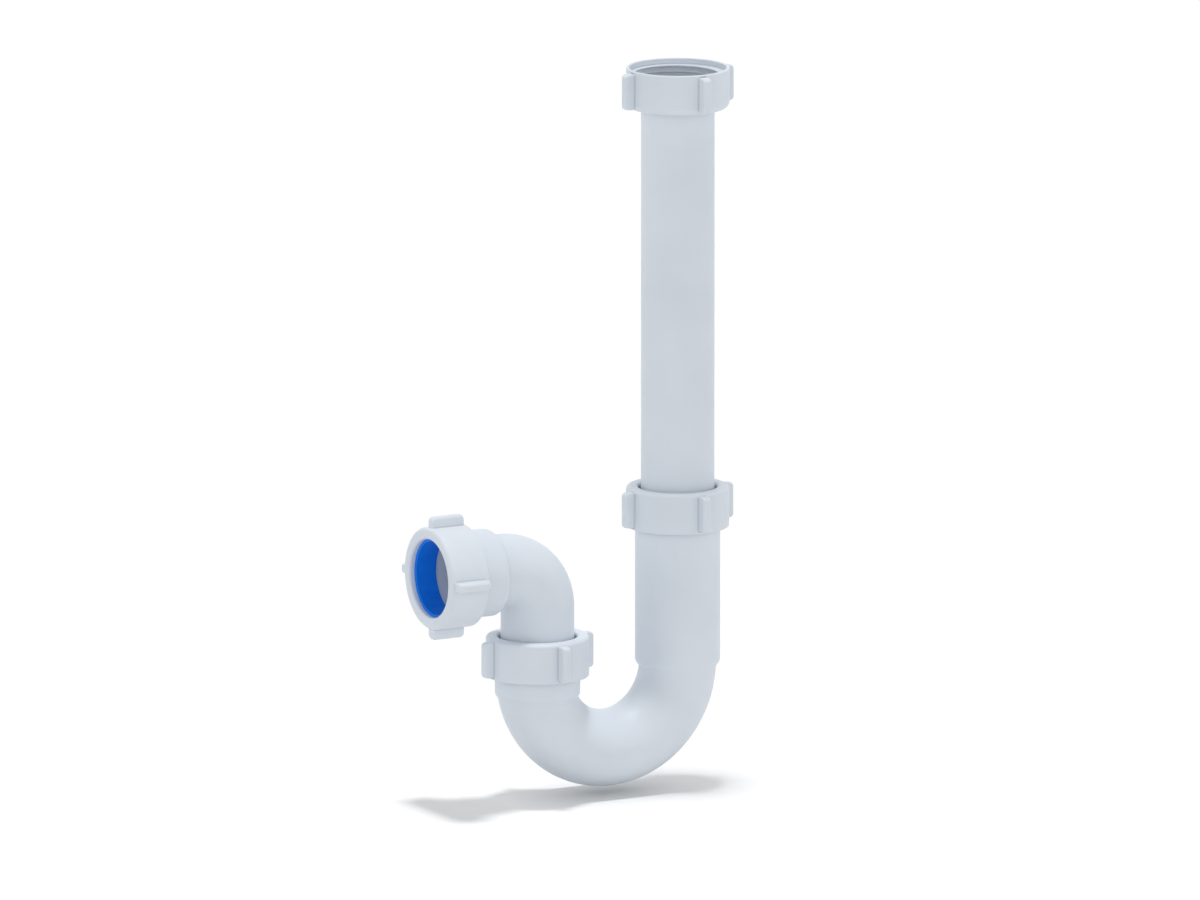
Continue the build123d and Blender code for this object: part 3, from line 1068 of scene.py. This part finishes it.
def lay_board(scene, stage):
    """The white board, which keeps just under the bend when the bend is slid up or down."""
    level = CAD_LOW.z - BOARD_GAP
    corners = [(-BOARD_HALF, -BOARD_HALF), (BOARD_HALF, -BOARD_HALF), (BOARD_HALF, BOARD_HALF),
               (-BOARD_HALF, BOARD_HALF)]
    mesh = bpy.data.meshes.new("floor_board")
    mesh.from_pydata([(x, y, level) for x, y in corners], [], [(0, 1, 2, 3)])
    mesh.materials.append(painted_board(stage))
    floor = bpy.data.objects.new("floor_board", mesh)
    scene.collection.objects.link(floor)
    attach(floor, "u_bend")


def hang_softbox(scene):
    """The soft lamp straight overhead."""
    sun = bpy.data.lights.new("overhead_softbox", "SUN")
    sun.energy = SUN_STRENGTH
    sun.angle = SUN_SPREAD
    scene.collection.objects.link(bpy.data.objects.new("overhead_softbox", sun))


def set_camera(scene, stage):
    """The camera at the photograph's angle, far away as with a long lens."""
    camera = bpy.data.cameras.new("photograph_camera")
    camera.sensor_width = SENSOR_WIDTH
    camera.lens = SENSOR_WIDTH * stage.distance / stage.view_width
    camera.clip_end = FAR_CLIP
    away = Vector((
        math.sin(stage.azimuth) * math.cos(stage.elevation),
        -math.cos(stage.azimuth) * math.cos(stage.elevation),
        math.sin(stage.elevation),
    ))
    viewer = bpy.data.objects.new("photograph_camera", camera)
    viewer.location = Vector((stage.aim_x, 0, stage.aim_z)) + away * stage.distance
    viewer.rotation_euler = away.to_track_quat("Z", "Y").to_euler()
    scene.collection.objects.link(viewer)
    scene.camera = viewer


class TRAP_OT_stage(bpy.types.Operator):
    """Set the white floor, the soft light and the camera"""

    bl_idname = "basin_trap.stage"
    bl_label = "Stage"

    def execute(self, context):
        scene = context.scene
        stage = scene.trap_stage
        scene.view_settings.view_transform = "Standard"
        scene.world = white_studio(stage)
        lay_board(scene, stage)
        hang_softbox(scene)
        set_camera(scene, stage)
        return {"FINISHED"}


OPERATORS = (
    TRAP_OT_stage,
    TRAP_OT_u_bend,
    TRAP_OT_inlet_pipe,
    TRAP_OT_outlet_elbow,
    TRAP_OT_cone_seals,
    TRAP_OT_compression_nuts,
    TRAP_OT_union_nut,
)


class TRAP_PT_pieces(bpy.types.Panel):
    """Lists the trap's pieces and its stage"""

    bl_idname = "TRAP_PT_pieces"
    bl_label = "Basin trap"
    bl_space_type = "VIEW_3D"
    bl_region_type = "UI"
    bl_category = "Trap"

    def draw(self, context):
        for operator in OPERATORS:
            self.layout.operator(operator.bl_idname)


GROUPS = (TrapSizes, TrapFinishes, TrapStage)
CLASSES = GROUPS + OPERATORS + (TRAP_PT_pieces,)


def register():
    for cls in CLASSES:
        bpy.utils.register_class(cls)
    bpy.types.Scene.trap_sizes = PointerProperty(type=TrapSizes)
    bpy.types.Scene.trap_finishes = PointerProperty(type=TrapFinishes)
    bpy.types.Scene.trap_stage = PointerProperty(type=TrapStage)


def unregister():
    del bpy.types.Scene.trap_stage
    del bpy.types.Scene.trap_finishes
    del bpy.types.Scene.trap_sizes
    for cls in reversed(CLASSES):
        bpy.utils.unregister_class(cls)


def main():
    """Builds the stage and every piece."""
    register()
    bpy.ops.basin_trap.stage()
    bpy.ops.basin_trap.u_bend()
    bpy.ops.basin_trap.inlet_pipe()
    bpy.ops.basin_trap.outlet_elbow()
    bpy.ops.basin_trap.cone_seals()
    bpy.ops.basin_trap.compression_nuts()
    bpy.ops.basin_trap.union_nut()


if __name__ == "__main__":
    main()
